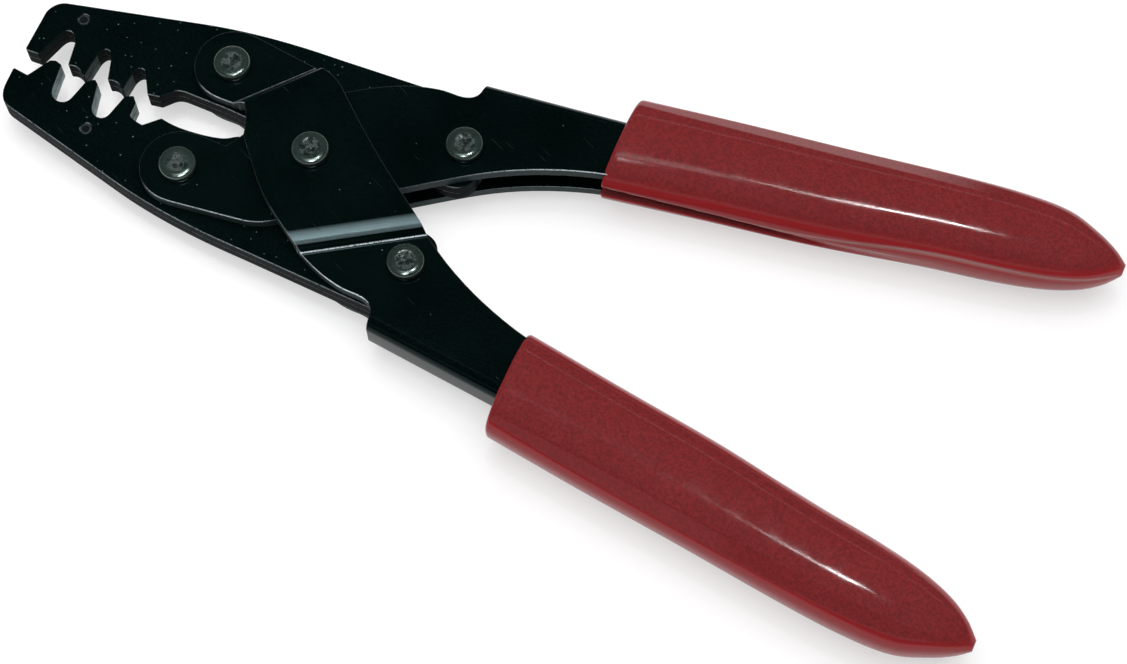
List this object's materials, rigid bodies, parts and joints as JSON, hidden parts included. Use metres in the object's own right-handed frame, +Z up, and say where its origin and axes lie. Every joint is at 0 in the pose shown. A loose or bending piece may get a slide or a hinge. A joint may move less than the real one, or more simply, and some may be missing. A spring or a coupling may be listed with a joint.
{
  "type": "crimping tool",
  "caption": "Hand crimping tool with parallel laminated jaws, alternating wire-terminal nests, a compound four-pivot linkage and dipped plastic grips.",
  "frame": {"origin": "on the middle pivot's axis, at the flat of that rivet's lower head, on which the tool lies", "axes": "+X from the jaws to the handle ends, +Y to the upper handle's side, +Z up out of the tool's side"},
  "size_m": [0.2086, 0.0924, 0.0171],
  "materials": {
    "black_steel": "glossy black oxide over stamped steel",
    "die_steel": "satin black oxide over hardened steel",
    "rivet_steel": "bare steel, formed heads",
    "red_grip": "glossy soft red vinyl"
  },
  "bodies": {
    "lower_handle": {"lower_handle": "black_steel", "lower_grip": "red_grip", "middle_pivot_rivet": "rivet_steel", "upper_jaw_pivot_rivet": "rivet_steel", "lower_tail_rivet": "rivet_steel", "lower_tail_bush": "rivet_steel"},
    "upper_handle": {"upper_handle": "black_steel", "upper_grip": "red_grip", "middle_spacer": "rivet_steel", "lower_jaw_pivot_rivet": "rivet_steel", "upper_tail_rivet": "rivet_steel", "upper_tail_bush": "rivet_steel"},
    "upper_jaw": {"upper_jaw_front_plate": "die_steel", "upper_jaw_back_plate": "die_steel", "upper_jaw_tip_pin": "rivet_steel", "upper_jaw_rear_pin": "rivet_steel"},
    "lower_jaw": {"lower_jaw_front_plate": "die_steel", "lower_jaw_back_plate": "die_steel", "lower_jaw_tip_pin": "rivet_steel", "lower_jaw_rear_pin": "rivet_steel"}
  },
  "joints": [
    {"name": "handle_pivot", "type": "hinge", "parent": "lower_handle", "child": "upper_handle", "pos_m": [0, 0, 0.00855], "axis": [0, 0, -1], "range_deg": [0, 8]},
    {"name": "upper_jaw_pivot", "type": "hinge", "parent": "lower_handle", "child": "upper_jaw", "pos_m": [-0.0223, 0.0116, 0.00855], "axis": [0, 0, -1], "range_deg": [0, 4.4]},
    {"name": "lower_jaw_pivot", "type": "hinge", "parent": "upper_handle", "child": "lower_jaw", "pos_m": [-0.0223, -0.0116, 0.00855], "axis": [0, 0, 1], "range_deg": [0, 4.4]}
  ],
  "couplings": [
    {"joint": "upper_jaw_pivot", "follows": "handle_pivot", "ratio": 0.5402},
    {"joint": "lower_jaw_pivot", "follows": "handle_pivot", "ratio": 0.5402}
  ]
}
